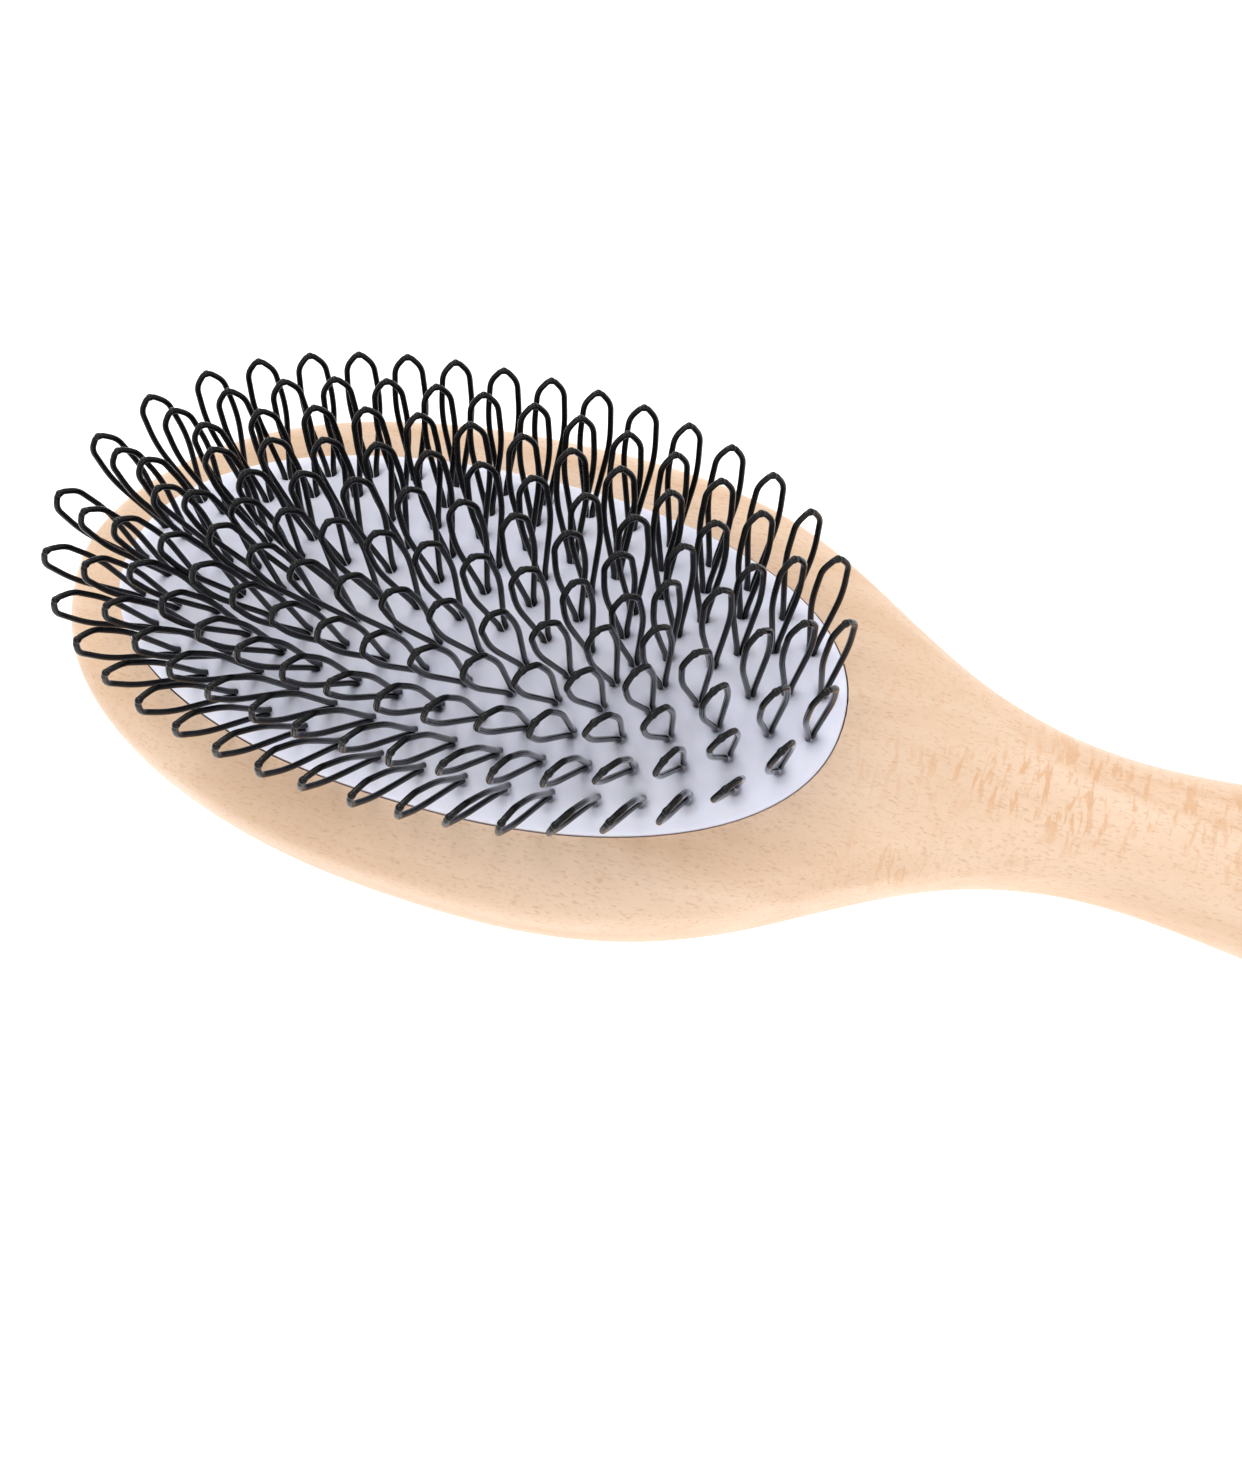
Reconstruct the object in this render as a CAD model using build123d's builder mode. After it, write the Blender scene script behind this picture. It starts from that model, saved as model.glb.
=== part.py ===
import os
from math import cos, pi, radians, sin, sqrt

from build123d import *

# Oval loop hairbrush: one-piece wooden body, domed rubber cushion, looped nylon bristles.
# Lengths in mm. The underside rests on Z = 0 and the handle points along +X.

# Cushion opening
rim_z = 20.0
pad_half_length = 50.0
pad_half_width = 24.1
pad_roundness = 2.18
pad_taper = 0.017

# Wooden head and handle
head_centre_x = 5.0
head_reach = 64.5
head_half_width = 33.5
head_roundness = 2.15
head_edge_z = 12.0
head_belly = 12.6
nose_steps = 9
section_points = 24
land_z = 0.0
top_squareness = 4.0
belly_squareness = 2.3

# Pocket under the cushion and the groove that holds its edge
pocket_floor_z = 10.5
pocket_gap = 0.1
groove_low_z = 15.6
groove_high_z = 17.7
groove_reach = 2.4

# Rubber cushion
dome_height = 3.9
dome_fullness = 0.75
skin_thickness = 1.5
edge_gap = 0.3
dome_shares = [1.0, 0.985, 0.94, 0.86, 0.74, 0.58, 0.38, 0.2, 0.1]

# Looped bristles
strand_radius = 0.38
loop_height = 17.5
loop_shoulder_height = 15.7
loop_waist_height = 10.2
loop_waist_half_width = 2.05
loop_shoulder_half_width = 1.7
leg_half_gap = 0.42
leg_bend_height = 0.6
bend_radii = [12.0, 22.0, 2.5, 0.9, 2.5, 22.0, 12.0]
anchor_radius = 1.2
anchor_height = 1.1
anchor_drop = 0.9
lean_along = 0.165
lean_across = 0.767
loop_facing = 52.0
facing_turn = -20.0
twist_spread = 6.0

# Rings of bristles from the rim inwards: name, loops, sectors, share of a step before the first loop
outer_ring_half_length = 47.0
outer_ring_half_width = 19.95
ring_step_length = 4.3
ring_step_width = 3.9
side_spacing = 0.06
rings = [
    ("outer_ring", 38, 8, 0.43),
    ("second_ring", 33, 7, 0.63),
    ("third_ring", 28, 6, 0.95),
    ("fourth_ring", 24, 6, 0.50),
    ("inner_ring", 20, 5, 0.45),
]
centre_row_loops = 9
centre_row_half_length = 23.5

# Stations along the shoulder, neck and handle: X, half width, top, underside, height of the widest line
stations = [
    (5.0, 33.5, 20.2, -0.6, 12.0),
    (14.0, 33.3, 20.2, -0.6, 12.0),
    (24.0, 32.1, 20.2, -0.5, 11.9),
    (34.0, 29.5, 20.2, -0.4, 11.8),
    (43.0, 25.6, 20.1, -0.1, 11.6),
    (51.0, 21.0, 19.9, 0.3, 11.3),
    (58.0, 16.9, 19.4, 0.8, 10.9),
    (65.0, 13.4, 18.6, 1.3, 10.4),
    (72.0, 11.0, 17.6, 1.7, 9.9),
    (80.0, 9.5, 16.6, 1.8, 9.3),
    (88.0, 9.2, 15.8, 1.5, 8.7),
    (98.0, 10.0, 15.3, 0.8, 8.1),
    (110.0, 11.3, 15.2, 0.1, 7.7),
    (125.0, 12.6, 15.4, -0.4, 7.5),
    (140.0, 13.0, 15.5, -0.4, 7.5),
    (152.0, 12.2, 15.2, 0.1, 7.6),
    (161.0, 10.0, 14.2, 1.3, 7.8),
    (167.0, 6.9, 12.6, 3.0, 8.0),
    (169.9, 3.9, 10.8, 5.0, 8.1),
    (170.8, 1.9, 9.5, 6.6, 8.1),
    (171.0, 0.8, 8.7, 7.5, 8.1),
]


def power(value, exponent):
    return abs(value) ** exponent * (1 if value >= 0 else -1)


def oval_point(angle, half_length, half_width, z):
    x = half_length * power(cos(angle), 2 / pad_roundness)
    y = half_width * power(sin(angle), 2 / pad_roundness)
    return (x, y * (1 + pad_taper * x / pad_half_length), z)


def oval_points(half_length, half_width, z, count=32):
    return [oval_point(2 * pi * i / count, half_length, half_width, z) for i in range(count)]


def closed_curve(points):
    # Even knots, so that every section of a loft matches its neighbours
    steps = [i / len(points) for i in range(len(points) + 1)]
    return Edge.make_spline([Vector(*p) for p in points], periodic=True, parameters=steps)


def dome_rise(x, y):
    width = pad_half_width * (1 + pad_taper * x / pad_half_length)
    inside = 1 - abs(x / pad_half_length) ** pad_roundness - abs(y / width) ** pad_roundness
    return dome_height * max(inside, 0) ** dome_fullness


def section_curve(x, half_width, top, underside, middle):
    points = []
    for i in range(section_points):
        angle = 2 * pi * i / section_points
        above = cos(angle) >= 0
        flat_share = min(max((half_width - 9.0) / 20.0, 0), 1)
        square_top = 2.4 + (top_squareness - 2.4) * flat_share
        square = square_top if above else belly_squareness
        reach = top - middle if above else middle - underside
        y = half_width * power(sin(angle), 2 / square)
        points.append((x, y, middle + reach * power(cos(angle), 2 / square)))
    return points


def dome_points(share, half_length, half_width, lift):
    rise = dome_height * (1 - share ** pad_roundness) ** dome_fullness
    return oval_points(share * half_length, share * half_width, rim_z + rise + lift)


# Wooden body
with BuildPart() as wooden_body:
    sections = []
    for share in [0.9998, 0.9975] + [cos(pi / 2 * i / nose_steps) for i in range(1, nose_steps)]:
        half_width = head_half_width * (1 - share ** head_roundness) ** (1 / head_roundness)
        top = head_edge_z + (rim_z + 0.2 - head_edge_z) * (1 - share ** 5) ** 0.2
        underside = head_edge_z - head_belly * (1 - share ** 2.2) ** (1 / 2.2)
        sections.append((head_centre_x - head_reach * share, half_width, top, underside, head_edge_z))
    for section in sections + stations:
        with BuildSketch(Plane.YZ.offset(section[0])):
            with BuildLine():
                add(closed_curve([(p[1], p[2]) for p in section_curve(*section)]))
            make_face()
    loft()
    # Flats on the back of the head and the belly of the handle
    with Locations((0, 0, land_z)):
        Box(400, 120, 10, align=(Align.CENTER, Align.CENTER, Align.MAX), mode=Mode.SUBTRACT)
    # Oval pocket, open at the face of the head
    with BuildSketch(Plane.XY.offset(pocket_floor_z)):
        with BuildLine():
            add(closed_curve(oval_points(pad_half_length + pocket_gap, pad_half_width + pocket_gap, 0)))
        make_face()
    extrude(amount=rim_z + 5 - pocket_floor_z, dir=(0, 0, 1), mode=Mode.SUBTRACT)
    # Groove that holds the cushion's edge
    with BuildSketch(Plane.XY.offset(groove_low_z)):
        with BuildLine():
            add(closed_curve(oval_points(pad_half_length + groove_reach, pad_half_width + groove_reach, 0)))
        make_face()
    extrude(amount=groove_high_z - groove_low_z, dir=(0, 0, 1), mode=Mode.SUBTRACT)
wooden_body.part.label = "wooden_body"

# One looped bristle, standing on the cushion's surface at the origin
with BuildPart() as bristle:
    foot_z = -skin_thickness - anchor_drop - anchor_height / 2
    right_leg = [(leg_half_gap, 0, foot_z), (leg_half_gap, 0, leg_bend_height)]
    right_leg = right_leg + [(loop_waist_half_width, 0, loop_waist_height)]
    right_leg = right_leg + [(loop_shoulder_half_width, 0, loop_shoulder_height)]
    left_leg = [(-x, y, z) for x, y, z in reversed(right_leg)]
    with BuildLine() as strand:
        FilletPolyline(*right_leg, (0, 0, loop_height), *left_leg, radius=bend_radii)
    with BuildSketch(Plane(origin=right_leg[0], z_dir=(0, 0, 1))):
        Circle(strand_radius)
    sweep(path=strand.wire())
    # Melted anchor under the rubber
    with BuildSketch(Plane.XY.offset(-skin_thickness - anchor_drop)):
        Circle(anchor_radius)
    extrude(amount=-anchor_height)


def ring_roots(half_length, half_width, count, first_share):
    # Steps round the oval, a little longer on the +Y side than on the -Y side
    fine = [oval_point(-2 * pi * i / 720, half_length, half_width, 0) for i in range(721)]
    lengths = [0]
    for a, b in zip(fine, fine[1:]):
        run = sqrt((b[0] - a[0]) ** 2 + (b[1] - a[1]) ** 2)
        lengths.append(lengths[-1] + run / (1 + side_spacing * b[1] / half_width))
    roots = []
    for i in range(count):
        target = lengths[-1] * (i + first_share) / count
        place = next(k for k, length in enumerate(lengths) if length >= target)
        roots.append((fine[place][0], fine[place][1]))
    return roots


def bristle_place(x, y, number):
    lean = Vector(lean_along * x / pad_half_length, lean_across * y / pad_half_width, 1).normalized()
    facing = loop_facing + facing_turn * y / pad_half_width + twist_spread * sin(number * 2.399)
    across = Vector(cos(radians(facing)), sin(radians(facing)), 0)
    across = (across - lean * across.dot(lean)).normalized()
    return Location(Plane(origin=(x, y, rim_z + dome_rise(x, y)), x_dir=across, z_dir=lean))


# Every bristle's place, ring by ring
layout = {}
number = 0
for step, (name, count, sectors, first_share) in enumerate(rings):
    half_length = outer_ring_half_length - step * ring_step_length
    half_width = outer_ring_half_width - step * ring_step_width
    places = []
    for x, y in ring_roots(half_length, half_width, count, first_share):
        places.append(bristle_place(x, y, number))
        number += 1
    layout[name] = (places, sectors)
places = []
for i in range(centre_row_loops):
    x = centre_row_half_length * (2 * i / (centre_row_loops - 1) - 1)
    places.append(bristle_place(x, 0, number))
    number += 1
layout["centre_row"] = (places, 2)

# Domed rubber cushion: a skin whose thicker edge sits in the groove
with BuildPart() as rubber_cushion:
    edge_low_z = groove_low_z + edge_gap
    edge_high_z = groove_high_z - edge_gap
    bead_reach = groove_reach - edge_gap
    skin_length = pad_half_length - edge_gap + pocket_gap
    skin_width = pad_half_width - edge_gap + pocket_gap
    for share in dome_shares:
        points = dome_points(share, skin_length, skin_width, 0)
        with BuildSketch(Plane.XY.offset(points[0][2])):
            with BuildLine():
                add(closed_curve([(p[0], p[1]) for p in points]))
            make_face()
    loft()
    with BuildSketch(Plane.XY.offset(edge_low_z)):
        with BuildLine():
            add(closed_curve(oval_points(skin_length, skin_width, 0)))
        make_face()
    extrude(amount=rim_z - edge_low_z, dir=(0, 0, 1))
    with BuildSketch(Plane.XY.offset(edge_low_z)):
        with BuildLine():
            add(closed_curve(oval_points(pad_half_length + bead_reach, pad_half_width + bead_reach, 0)))
        make_face()
    extrude(amount=edge_high_z - edge_low_z, dir=(0, 0, 1))
    # Hollow under the skin
    inner_length = skin_length - skin_thickness
    inner_width = skin_width - skin_thickness
    for share in dome_shares:
        points = dome_points(share, inner_length, inner_width, -skin_thickness)
        with BuildSketch(Plane.XY.offset(points[0][2])):
            with BuildLine():
                add(closed_curve([(p[0], p[1]) for p in points]))
            make_face()
    loft(mode=Mode.SUBTRACT)
    with BuildSketch(Plane.XY.offset(edge_low_z)):
        with BuildLine():
            add(closed_curve(oval_points(inner_length, inner_width, 0)))
        make_face()
    extrude(amount=rim_z - skin_thickness - edge_low_z, dir=(0, 0, 1), mode=Mode.SUBTRACT)
rubber_cushion.part.label = "rubber_cushion"

os.makedirs("parts", exist_ok=True)
export_step(wooden_body.part, "parts/wooden_body.step")
export_step(rubber_cushion.part, "parts/rubber_cushion.step")

# Bristles, one node for each sector of a ring
for name, (places, sectors) in layout.items():
    for sector in range(sectors):
        first = round(sector * len(places) / sectors)
        last = round((sector + 1) * len(places) / sectors)
        with BuildPart() as bristles:
            with Locations(places[first:last]):
                add(bristle.part)
        bristles.part.label = f"{name}_loops_{sector + 1}"
        export_step(bristles.part, f"parts/{name}_loops_{sector + 1}.step")
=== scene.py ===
import math

import bpy
import numpy as np
from mathutils import Matrix, Vector


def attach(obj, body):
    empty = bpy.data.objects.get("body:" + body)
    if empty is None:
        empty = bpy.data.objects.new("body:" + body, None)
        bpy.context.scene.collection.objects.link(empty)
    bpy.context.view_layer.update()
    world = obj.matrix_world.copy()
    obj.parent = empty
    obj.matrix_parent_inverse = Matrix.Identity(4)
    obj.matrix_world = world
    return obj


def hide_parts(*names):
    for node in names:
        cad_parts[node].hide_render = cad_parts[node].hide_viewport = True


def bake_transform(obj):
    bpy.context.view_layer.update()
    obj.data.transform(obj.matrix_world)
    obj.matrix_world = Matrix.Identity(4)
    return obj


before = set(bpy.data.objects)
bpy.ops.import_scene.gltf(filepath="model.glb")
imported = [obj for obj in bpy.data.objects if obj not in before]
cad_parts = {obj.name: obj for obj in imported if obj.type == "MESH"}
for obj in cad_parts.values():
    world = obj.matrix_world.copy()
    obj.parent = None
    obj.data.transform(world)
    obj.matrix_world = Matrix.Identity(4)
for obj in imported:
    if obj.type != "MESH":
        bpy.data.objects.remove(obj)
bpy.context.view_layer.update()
mm = 0.001


# Node helpers

def newMaterial(name):
    m = bpy.data.materials.new(name)
    m.use_nodes = True
    return m, m.node_tree, m.node_tree.nodes["Principled BSDF"]


def node(tree, kind, **values):
    n = tree.nodes.new(kind)
    for key, value in values.items():
        if hasattr(n, key):
            setattr(n, key, value)
        else:
            n.inputs[key].default_value = value
    return n


def ramp(tree, fac, stops):
    r = tree.nodes.new("ShaderNodeValToRGB")
    r.color_ramp.elements[0].position, r.color_ramp.elements[0].color = stops[0][0], stops[0][1]
    r.color_ramp.elements[1].position, r.color_ramp.elements[1].color = stops[-1][0], stops[-1][1]
    for place, colour in stops[1:-1]:
        r.color_ramp.elements.new(place).color = colour
    tree.links.new(fac, r.inputs["Fac"])
    return r


def mix(tree, fac, a, b, how="MIX"):
    m = tree.nodes.new("ShaderNodeMix")
    m.data_type, m.blend_type = "RGBA", how
    for socket, value in ((m.inputs[0], fac), (m.inputs[6], a), (m.inputs[7], b)):
        if hasattr(value, "links"):
            tree.links.new(value, socket)
        else:
            socket.default_value = value
    return m.outputs[2]


def maths(tree, how, a, b=0.0):
    m = tree.nodes.new("ShaderNodeMath")
    m.operation = how
    for socket, value in zip(m.inputs, (a, b)):
        if hasattr(value, "links"):
            tree.links.new(value, socket)
        else:
            socket.default_value = value
    return m.outputs[0]


def stretched(tree, scale, move=(0, 0, 0), turn=(0, 0, 0)):
    coords = node(tree, "ShaderNodeTexCoord")
    mapping = node(tree, "ShaderNodeMapping")
    mapping.inputs["Scale"].default_value = scale
    mapping.inputs["Location"].default_value = move
    mapping.inputs["Rotation"].default_value = turn
    tree.links.new(coords.outputs["Object"], mapping.inputs["Vector"])
    return mapping.outputs["Vector"]


def noise(tree, vector, scale, detail=4.0, rough=0.5, distort=0.0):
    n = node(tree, "ShaderNodeTexNoise")
    n.inputs["Scale"].default_value = scale
    n.inputs["Detail"].default_value = detail
    n.inputs["Roughness"].default_value = rough
    n.inputs["Distortion"].default_value = distort
    tree.links.new(vector, n.inputs["Vector"])
    return n.outputs["Fac"]


# Beech: pale straw colour, long soft growth bands, short brown flecks, bars across the neck
wood = dict(light=(0.80, 0.59, 0.435, 1), warm=(0.73, 0.505, 0.345, 1), pale=(0.84, 0.645, 0.495, 1),
            fleck=(0.50, 0.26, 0.12, 1), bar=(0.66, 0.36, 0.17, 1), bump=0.10)


def makeWood():
    m, t, b = newMaterial("BeechWood")
    link = t.links.new
    # Growth bands run along the handle and bow round it a little
    bands = noise(t, stretched(t, (6, 75, 110)), 1.6, 6, 0.55, 1.1)
    base = ramp(t, bands, [(0.30, wood["warm"]), (0.52, wood["light"]), (0.75, wood["pale"])])
    cloud = noise(t, stretched(t, (14, 22, 22)), 1.5, 3, 0.5)
    tone = ramp(t, cloud, [(0.30, (0.90, 0.86, 0.80, 1)), (0.70, (1.04, 1.02, 1.0, 1))])
    colour = mix(t, 1.0, base.outputs["Color"], tone.outputs["Color"], "MULTIPLY")
    # Pores: thousands of hair-thin dashes about 2 mm long
    pores = noise(t, stretched(t, (1100, 3200, 3200)), 1.0, 2, 0.6)
    poreMask = ramp(t, pores, [(0.54, (0, 0, 0, 1)), (0.70, (1, 1, 1, 1))])
    colour = mix(t, maths(t, "MULTIPLY", poreMask.outputs["Color"], 0.38), colour, wood["fleck"])
    # Ray flecks: small warm lozenges where the cut runs close to the rays
    rays = noise(t, stretched(t, (620, 1700, 1500)), 1.0, 2, 0.5)
    rayMask = ramp(t, rays, [(0.62, (0, 0, 0, 1)), (0.72, (1, 1, 1, 1))])
    colour = mix(t, maths(t, "MULTIPLY", rayMask.outputs["Color"], 0.55), colour, wood["warm"])
    # Bars across the grain, gathered on the face of the neck and along the top of the handle
    bars = noise(t, stretched(t, (1150, 270, 170)), 1.0, 3, 0.55, 0.3)
    barMask = ramp(t, bars, [(0.51, (0, 0, 0, 1)), (0.60, (1, 1, 1, 1))])
    coords = node(t, "ShaderNodeTexCoord")
    split = node(t, "ShaderNodeSeparateXYZ")
    link(coords.outputs["Object"], split.inputs[0])
    onTop = ramp(t, split.outputs["Z"], [(0.0120, (0, 0, 0, 1)), (0.0150, (1, 1, 1, 1))])
    along = ramp(t, split.outputs["X"], [(0.051, (0, 0, 0, 1)), (0.056, (1, 1, 1, 1))])
    patchNoise = noise(t, stretched(t, (30, 70, 70)), 1.4, 2, 0.5)
    patch = ramp(t, patchNoise, [(0.36, (0, 0, 0, 1)), (0.58, (1, 1, 1, 1))])
    where = maths(t, "MULTIPLY", maths(t, "MULTIPLY", onTop.outputs["Color"], along.outputs["Color"]),
                  patch.outputs["Color"])
    share = maths(t, "MULTIPLY", maths(t, "MULTIPLY", where, barMask.outputs["Color"]), 0.62)
    colour = mix(t, share, colour, wood["bar"])
    link(colour, b.inputs["Base Color"])
    polish = noise(t, stretched(t, (60, 300, 300)), 1.0, 4, 0.5)
    rough = ramp(t, polish, [(0.3, (0.36,) * 3 + (1,)), (0.7, (0.50,) * 3 + (1,))])
    link(rough.outputs["Color"], b.inputs["Roughness"])
    bump = node(t, "ShaderNodeBump")
    bump.inputs["Strength"].default_value = wood["bump"]
    bump.inputs["Distance"].default_value = 0.00012
    link(maths(t, "SUBTRACT", bands, poreMask.outputs["Color"]), bump.inputs["Height"])
    link(bump.outputs["Normal"], b.inputs["Normal"])
    b.inputs["Specular IOR Level"].default_value = 0.35
    b.inputs["Coat Weight"].default_value = 0.10
    b.inputs["Coat Roughness"].default_value = 0.35
    return m


# Rubber: pale lavender, matt, faint moulding bloom
rubber = dict(light=(0.86, 0.87, 0.99, 1), shade=(0.80, 0.81, 0.97, 1), speck=(0.45, 0.46, 0.62, 1))


def makeRubber():
    m, t, b = newMaterial("LavenderRubber")
    link = t.links.new
    bloom = noise(t, stretched(t, (60, 60, 60)), 1.0, 5, 0.55)
    tone = ramp(t, bloom, [(0.30, rubber["shade"]), (0.65, rubber["light"])])
    dust = noise(t, stretched(t, (1500, 1500, 1500)), 1.0, 2, 0.5)
    specks = ramp(t, dust, [(0.66, (0, 0, 0, 1)), (0.78, (1, 1, 1, 1))])
    share = maths(t, "MULTIPLY", specks.outputs["Color"], 0.10)
    colour = mix(t, share, tone.outputs["Color"], rubber["speck"])
    link(colour, b.inputs["Base Color"])
    rough = ramp(t, bloom, [(0.3, (0.44,) * 3 + (1,)), (0.7, (0.58,) * 3 + (1,))])
    link(rough.outputs["Color"], b.inputs["Roughness"])
    fine = noise(t, stretched(t, (900, 900, 900)), 1.0, 4, 0.6)
    bump = node(t, "ShaderNodeBump")
    bump.inputs["Strength"].default_value = 0.10
    bump.inputs["Distance"].default_value = 0.00008
    link(fine, bump.inputs["Height"])
    link(bump.outputs["Normal"], b.inputs["Normal"])
    b.inputs["Subsurface Weight"].default_value = 0.12
    b.inputs["Subsurface Scale"].default_value = 0.0012
    b.inputs["Specular IOR Level"].default_value = 0.42
    return m


# Nylon: near-black and evenly glossy
def makeNylon():
    m, t, b = newMaterial("BlackNylon")
    link = t.links.new
    wear = noise(t, stretched(t, (420, 420, 420)), 1.0, 4, 0.6)
    tone = ramp(t, wear, [(0.3, (0.002, 0.002, 0.0025, 1)), (0.7, (0.006, 0.006, 0.007, 1))])
    link(tone.outputs["Color"], b.inputs["Base Color"])
    rough = ramp(t, wear, [(0.3, (0.10,) * 3 + (1,)), (0.7, (0.14,) * 3 + (1,))])
    link(rough.outputs["Color"], b.inputs["Roughness"])
    b.inputs["Specular IOR Level"].default_value = 0.30
    b.inputs["IOR"].default_value = 1.45
    return m


woodMaterial, rubberMaterial, nylonMaterial = makeWood(), makeRubber(), makeNylon()
print("materials made")


def dress(o, material):
    o.data.materials.clear()
    o.data.materials.append(material)


dress(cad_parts["wooden_body"], woodMaterial)

# Bristle loops: every ring of loops gets the black nylon
loopNodes = sorted(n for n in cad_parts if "_loops_" in n)
for name in loopNodes:
    dress(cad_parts[name], nylonMaterial)

# Rubber cushion: one skin with a dimple round every bristle, its edge rolled down into the groove
cushion = dict(halfLength=50.0, halfWidth=24.1, roundness=2.18, taper=0.017, rimZ=20.0, dome=3.9,
               fullness=0.75,
               rings=[("outer", 38, 0.43), ("second", 33, 0.63), ("third", 28, 0.95), ("fourth", 24, 0.50),
                      ("inner", 20, 0.45)],
               outerLength=47.0, outerWidth=19.95, stepLength=4.3, stepWidth=3.9, sideSpacing=0.06,
               centreLoops=9, centreHalf=23.5, dimpleDepth=0.42, dimpleReach=1.25, spokes=400, circles=110)


def signedPower(v, e):
    return np.sign(v) * np.abs(v) ** e


def ovalXY(angle, a, b):
    x = a * signedPower(np.cos(angle), 2 / cushion["roundness"])
    y = b * signedPower(np.sin(angle), 2 / cushion["roundness"])
    return x, y * (1 + cushion["taper"] * x / cushion["halfLength"])


def bristleRoots():
    points = []
    for step, (name, count, first) in enumerate(cushion["rings"]):
        a = cushion["outerLength"] - step * cushion["stepLength"]
        b = cushion["outerWidth"] - step * cushion["stepWidth"]
        x, y = ovalXY(-np.linspace(0, 2 * np.pi, 721), a, b)
        run = np.hypot(np.diff(x), np.diff(y)) / (1 + cushion["sideSpacing"] * y[1:] / b)
        total = np.concatenate([[0], np.cumsum(run)])
        for i in range(count):
            k = np.searchsorted(total, total[-1] * (i + first) / count)
            points.append((x[k], y[k]))
    for i in range(cushion["centreLoops"]):
        points.append((cushion["centreHalf"] * (2 * i / (cushion["centreLoops"] - 1) - 1), 0.0))
    return np.array(points)


def makeCushion():
    c = cushion
    roots = bristleRoots()
    # Circles crowd towards the rim, where the skin turns down
    share = np.linspace(0, 1, c["circles"]) ** 0.85
    share[0] = 0.004
    angle = np.linspace(0, 2 * np.pi, c["spokes"], endpoint=False)
    verts = []
    for s in share:
        x, y = ovalXY(angle, s * (c["halfLength"] - 0.1), s * (c["halfWidth"] - 0.1))
        z = c["rimZ"] + c["dome"] * (1 - min(s, 1) ** c["roundness"]) ** c["fullness"]
        verts.append(np.stack([x, y, np.full_like(x, z)], 1))
    for inset, drop in ((0.02, 0.35), (0.02, 0.9), (0.05, 1.6), (0.1, 3.0)):
        x, y = ovalXY(angle, c["halfLength"] - 0.1 - inset, c["halfWidth"] - 0.1 - inset)
        verts.append(np.stack([x, y, np.full_like(x, c["rimZ"] - drop)], 1))
    rows = len(verts)
    co = np.concatenate(verts)
    top = len(share) * c["spokes"]
    gap = np.sqrt(((co[:top, None, :2] - roots[None]) ** 2).sum(2)).min(1)
    # Dimple with a soft lip round it
    pull = c["dimpleDepth"] * np.exp(-(gap / c["dimpleReach"]) ** 2) + 0.75 * np.exp(-(gap / 0.62) ** 4)
    lip = 0.07 * np.exp(-((gap - 2.0) / 0.6) ** 2)
    co[:top, 2] += lip - pull
    co = np.concatenate([co, [[0, 0, c["rimZ"] + c["dome"]]]])
    n = c["spokes"]
    faces = [(r * n + i, r * n + (i + 1) % n, (r + 1) * n + (i + 1) % n, (r + 1) * n + i)[::-1]
             for r in range(rows - 1) for i in range(n)]
    faces += [(len(co) - 1, i, (i + 1) % n) for i in range(n)]
    mesh = bpy.data.meshes.new("RubberCushion")
    mesh.from_pydata((co * mm).tolist(), [], faces)
    mesh.update()
    mesh.polygons.foreach_set("use_smooth", [True] * len(mesh.polygons))
    o = bpy.data.objects.new("RubberCushion", mesh)
    bpy.context.scene.collection.objects.link(o)
    dress(o, rubberMaterial)
    return o


# Tip of each loop: the strand swells a little where it turns over and catches the light
tips = dict(height=17.13, radius=0.47, length=0.62, leanAlong=0.165, leanAcross=0.767, facing=52.0,
            turn=-20.0, twist=6.0, twistStep=2.399, sag=0.42, sides=14, rows=9)


def makeTips():
    c, k = cushion, tips
    verts, faces = [], []
    for number, (x, y) in enumerate(bristleRoots()):
        along = k["leanAlong"] * x / c["halfLength"]
        outward = k["leanAcross"] * y / c["halfWidth"]
        lean = Vector((along, outward, 1)).normalized()
        twist = k["twist"] * math.sin(number * k["twistStep"])
        facing = math.radians(k["facing"] + k["turn"] * y / c["halfWidth"] + twist)
        across = Vector((math.cos(facing), math.sin(facing), 0))
        across = (across - lean * across.dot(lean)).normalized()
        side = lean.cross(across)
        width = c["halfWidth"] * (1 + c["taper"] * x / c["halfLength"])
        inside = 1 - abs(x / c["halfLength"]) ** c["roundness"] - abs(y / width) ** c["roundness"]
        root = Vector((x, y, c["rimZ"] + c["dome"] * max(inside, 0) ** c["fullness"]))
        middle = root + lean * k["height"]
        start = len(verts)
        for r in range(k["rows"]):
            u = r / (k["rows"] - 1) * 2 - 1
            # A slim barrel, bent with the strand
            reach = k["radius"] * max(1 - abs(u) ** 2, 0.0) ** 0.5
            centre = middle + across * (u * k["length"]) - lean * (k["sag"] * (u * k["length"]) ** 2)
            for i in range(k["sides"]):
                a = 2 * math.pi * i / k["sides"]
                verts.append((centre + (lean * math.cos(a) + side * math.sin(a)) * reach) * mm)
        for r in range(k["rows"] - 1):
            for i in range(k["sides"]):
                j = (i + 1) % k["sides"]
                faces.append((start + r * k["sides"] + i, start + r * k["sides"] + j,
                              start + (r + 1) * k["sides"] + j, start + (r + 1) * k["sides"] + i))
    mesh = bpy.data.meshes.new("LoopTips")
    mesh.from_pydata(verts, [], faces)
    mesh.polygons.foreach_set("use_smooth", [True] * len(mesh.polygons))
    o = bpy.data.objects.new("LoopTips", mesh)
    bpy.context.scene.collection.objects.link(o)
    dress(o, nylonMaterial)
    return o


loopTips = makeTips()
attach(loopTips, "bristle_field")

cushionSkin = makeCushion()
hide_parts("rubber_cushion")
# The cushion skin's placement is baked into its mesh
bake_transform(cushionSkin)
print("cushion made")

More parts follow.
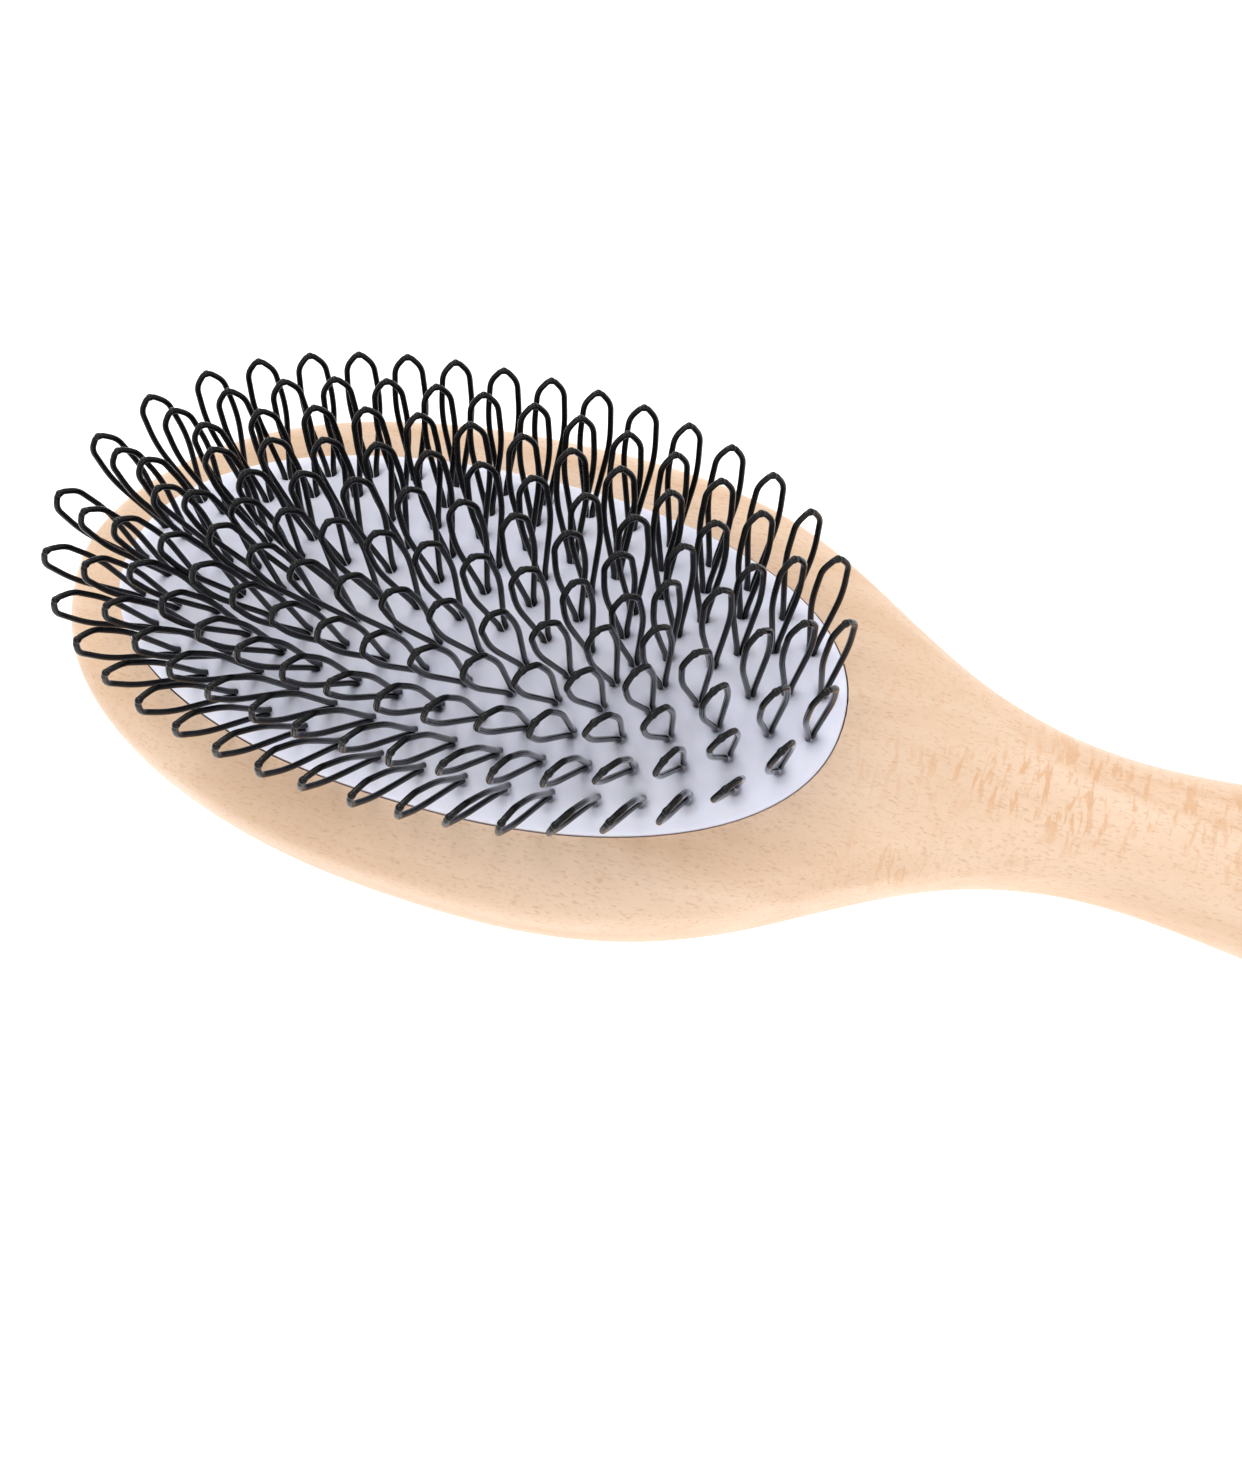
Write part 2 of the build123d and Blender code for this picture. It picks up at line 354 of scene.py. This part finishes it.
# Floor
bpy.ops.mesh.primitive_plane_add(size=6, location=(0, 0, -0.0002))
floor = bpy.context.object
floor.name = "Floor"
floorMaterial, t, b = newMaterial("PaleFloor")
b.inputs["Base Color"].default_value = (0.93, 0.93, 0.93, 1)
b.inputs["Roughness"].default_value = 0.9
b.inputs["Emission Color"].default_value = (1, 1, 1, 1)
b.inputs["Emission Strength"].default_value = 0.50
dress(floor, floorMaterial)

# Plain colour response, so that the white floor stays white
bpy.context.scene.view_settings.view_transform = "Standard"
bpy.context.scene.view_settings.look = "None"

# Light: a bright soft room with a large box overhead and one behind
world = bpy.data.worlds.new("Room")
bpy.context.scene.world = world
world.use_nodes = True
world.node_tree.nodes["Background"].inputs["Color"].default_value = (1, 1, 1, 1)
world.node_tree.nodes["Background"].inputs["Strength"].default_value = 0.77


def softBox(name, place, aim, size, power):
    light = bpy.data.lights.new(name, "AREA")
    light.shape, light.size, light.size_y, light.energy = "RECTANGLE", size[0], size[1], power
    o = bpy.data.objects.new(name, light)
    o.location = place
    o.rotation_euler = (Vector(aim) - Vector(place)).to_track_quat("-Z", "Y").to_euler()
    bpy.context.scene.collection.objects.link(o)


softBox("Overhead", (-0.25, 0.35, 0.9), (0.02, 0, 0.02), (0.7, 0.5), 4.6)
softBox("Front", (0.5, -0.7, 0.8), (0.03, 0, 0.02), (0.8, 0.6), 2.4)

# Camera
view = dict(turn=0.4602, lift=1.0664, roll=-0.1698, distance=180.0, aim=(30.93, 13.10, 20.0),
            sensor=36.0, lens=34.3674, shiftX=-0.071419, shiftY=-0.094026, clip=0.01)


def makeCamera():
    v = view
    a, e, r = v["turn"], v["lift"], v["roll"]
    back = Vector((math.sin(a) * math.cos(e), -math.cos(a) * math.cos(e), math.sin(e)))
    right = Vector((math.cos(a), math.sin(a), 0))
    up = back.cross(right)
    right2 = math.cos(r) * right + math.sin(r) * up
    up2 = -math.sin(r) * right + math.cos(r) * up
    data = bpy.data.cameras.new("Camera")
    o = bpy.data.objects.new("Camera", data)
    bpy.context.scene.collection.objects.link(o)
    rotation = Matrix((right2, up2, back)).transposed().to_4x4()
    o.matrix_world = Matrix.Translation((Vector(v["aim"]) + back * v["distance"]) * mm) @ rotation
    data.sensor_fit = "AUTO"
    data.sensor_height = v["sensor"]
    data.sensor_width = v["sensor"]
    data.lens = v["lens"]
    data.shift_x = v["shiftX"]
    data.shift_y = v["shiftY"]
    data.clip_start = v["clip"]
    bpy.context.scene.camera = o


makeCamera()
print("stage made")
